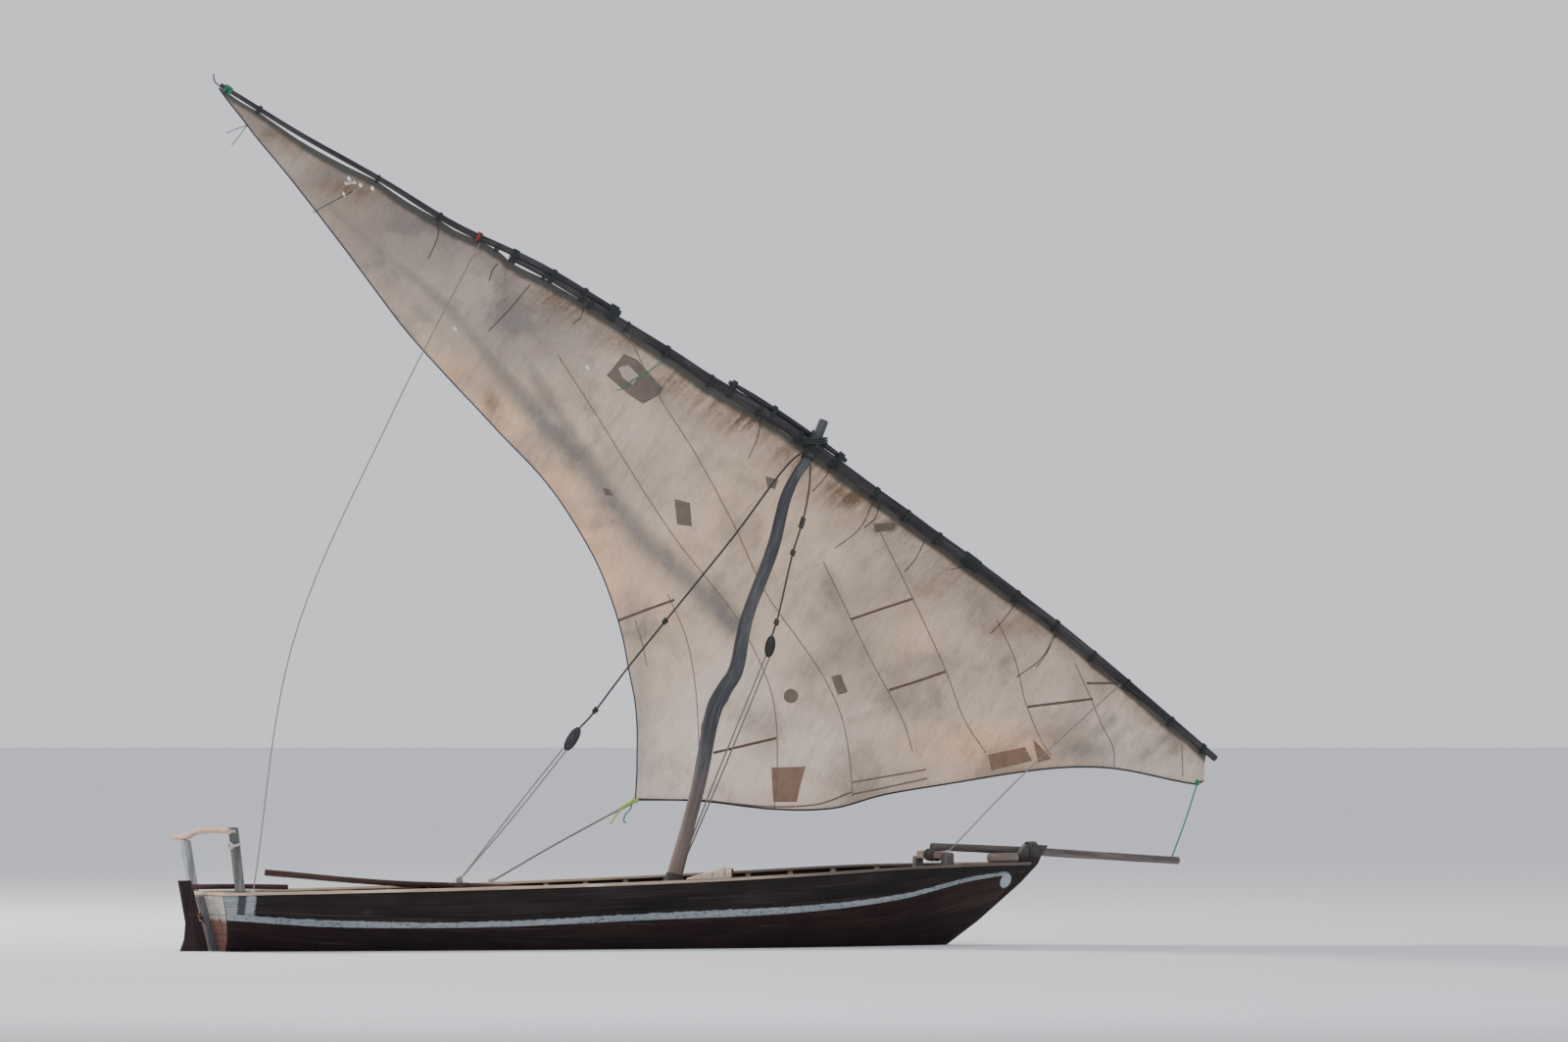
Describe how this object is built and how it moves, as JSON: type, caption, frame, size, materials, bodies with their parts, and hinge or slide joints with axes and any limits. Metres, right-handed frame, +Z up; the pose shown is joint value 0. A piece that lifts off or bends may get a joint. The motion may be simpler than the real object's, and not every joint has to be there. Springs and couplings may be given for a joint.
{
  "type": "dhow sailing boat",
  "caption": "Open wooden dhow with a hung rudder and tiller, a crooked raked mast, and a patched settee sail on a long yard that swings about the masthead.",
  "frame": {"origin": "on the centreline at the water's surface, amidships between the transom's foot and the stem", "axes": "+X towards the bow, +Y to port, +Z up"},
  "size_m": [11.2615, 2.3042, 9.0416],
  "materials": {
    "maroon_planks": "old dark maroon paint",
    "tarred_planks": "tarred, with a painted stripe",
    "transom_wood": "weathered grey over red-brown",
    "bare_wood": "bare, worn by feet",
    "pale_wood": "sun-bleached",
    "grey_wood": "weathered grey",
    "red_wood": "dark red-brown",
    "canvas": "patched cotton canvas, stained",
    "rope": "laid rope, greyed",
    "dark_rope": "tarred rope turns",
    "iron": "rusted"
  },
  "bodies": {
    "hull": {"keel": "maroon_planks", "stem_post": "tarred_planks", "stern_post": "grey_wood", "transom": "transom_wood", "bottom_planks_port": "maroon_planks", "side_planks_aft_port": "maroon_planks", "side_planks_fore_port": "maroon_planks", "sheer_planks_port": "tarred_planks", "gunwale_port": "pale_wood", "ribs_port": "bare_wood", "bottom_planks_starboard": "maroon_planks", "side_planks_aft_starboard": "maroon_planks", "side_planks_fore_starboard": "maroon_planks", "sheer_planks_starboard": "tarred_planks", "gunwale_starboard": "pale_wood", "ribs_starboard": "bare_wood", "keelson": "bare_wood", "floor_boards": "bare_wood", "stern_platform": "bare_wood", "fore_platform": "bare_wood", "aft_thwart": "bare_wood", "middle_thwart": "bare_wood", "mast_thwart": "bare_wood", "fore_thwart": "bare_wood", "mast": "grey_wood", "transom_cap": "pale_wood", "rail_post_port": "grey_wood", "rail_post_starboard": "grey_wood", "stern_rail": "pale_wood", "breasthook": "grey_wood", "bitt_port": "red_wood", "bitt_starboard": "red_wood", "bitt_crosspiece": "pale_wood", "bowsprit": "grey_wood", "log_chock": "bare_wood", "bowsprit_lashing": "dark_rope", "belaying_chock": "pale_wood", "backstay_cleat": "red_wood", "punt_pole": "red_wood", "gudgeon_upper": "iron", "gudgeon_lower": "iron", "backstay_block": "grey_wood", "tackle_block": "grey_wood", "backstay_rope": "rope", "tackle_rope": "rope", "backstay_falls": "rope", "tackle_falls": "rope", "sheet_rope": "rope", "tack_line": "rope", "vang": "rope", "fore_line": "rope"},
    "rudder": {"rudder_blade": "maroon_planks", "tiller": "red_wood", "pintle_upper": "iron", "pintle_lower": "iron"},
    "yard": {"main_spar": "grey_wood", "peak_spar": "grey_wood", "fish_spar": "grey_wood", "sail": "canvas", "parrel": "dark_rope"}
  },
  "joints": [
    {"name": "yard_swing", "type": "hinge", "parent": "hull", "child": "yard", "pos_m": [2.131, 0, 5.069], "axis": [0, 0, -1], "range_deg": [0, 60], "deforming": ["sheet_rope", "tack_line", "vang", "fore_line"]},
    {"name": "rudder_turn", "type": "hinge", "parent": "hull", "child": "rudder", "pos_m": [-4.37, 0, 0], "axis": [-0.2588, 0, 0.9659], "range_deg": [-38, 38]}
  ]
}
